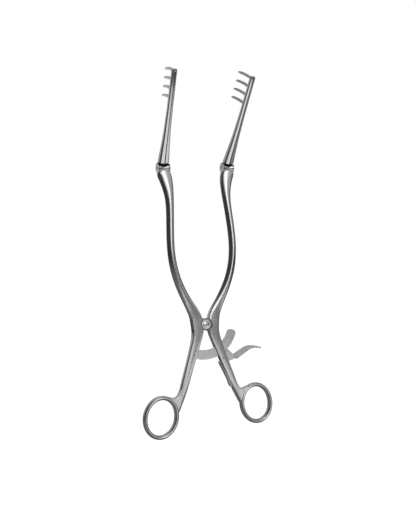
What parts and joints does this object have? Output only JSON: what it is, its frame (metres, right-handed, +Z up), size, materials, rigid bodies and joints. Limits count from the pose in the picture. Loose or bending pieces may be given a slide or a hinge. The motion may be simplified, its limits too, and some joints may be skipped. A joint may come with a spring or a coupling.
{
  "type": "surgical retractor",
  "caption": "Hinged self retaining retractor: two finger-ring shanks, a toothed ratchet bar with release lever, curved arms and folding four-toothed rake blades.",
  "frame": {"origin": "on the pivot axis, in the plane of the pivot's flat back face", "axes": "+Z up the arms from the finger rings to the blades, +X to the right as seen from the front, +Y from the front face to the back; the front, with the screw's slot, faces -Y"},
  "size_m": [0.127, 0.0573, 0.3148],
  "materials": {
    "forged_steel": "finely satin brushed stainless steel",
    "polished_steel": "polished stainless steel",
    "spring_steel": "polished spring steel"
  },
  "bodies": {
    "left_arm": {"left_half": "forged_steel", "pivot_bush": "polished_steel", "ratchet_bar": "forged_steel", "upper_bar_pin": "polished_steel", "lower_bar_pin": "polished_steel", "left_blade_pin": "polished_steel"},
    "right_arm": {"right_half": "forged_steel", "pivot_screw": "polished_steel", "lever_pin": "polished_steel", "leaf_spring": "spring_steel", "spring_screw": "polished_steel", "right_blade_pin": "polished_steel"},
    "lever": {"release_lever": "forged_steel"},
    "left_rake": {"left_blade": "forged_steel"},
    "right_rake": {"right_blade": "forged_steel"}
  },
  "joints": [
    {"name": "handle_pivot", "type": "hinge", "parent": "left_arm", "child": "right_arm", "pos_m": [0, -0.00341, 0], "axis": [0, 1, 0], "range_deg": [-15.5, 33]},
    {"name": "left_blade_fold", "type": "hinge", "parent": "left_arm", "child": "left_rake", "pos_m": [-0.0312, -0.00341, 0.1395], "axis": [0.999, 0, 0.0436], "range_deg": [-32, 13]},
    {"name": "right_blade_fold", "type": "hinge", "parent": "right_arm", "child": "right_rake", "pos_m": [0.0312, -0.00341, 0.1395], "axis": [0.999, 0, -0.0436], "range_deg": [-37, 8]},
    {"name": "lever_release", "type": "hinge", "parent": "right_arm", "child": "lever", "pos_m": [0.01551, -0.00341, -0.03168], "axis": [0, 1, 0], "range_deg": [0, 8], "stiffness_Nm_per_rad": 0.2, "springref_deg": -11.46}
  ]
}
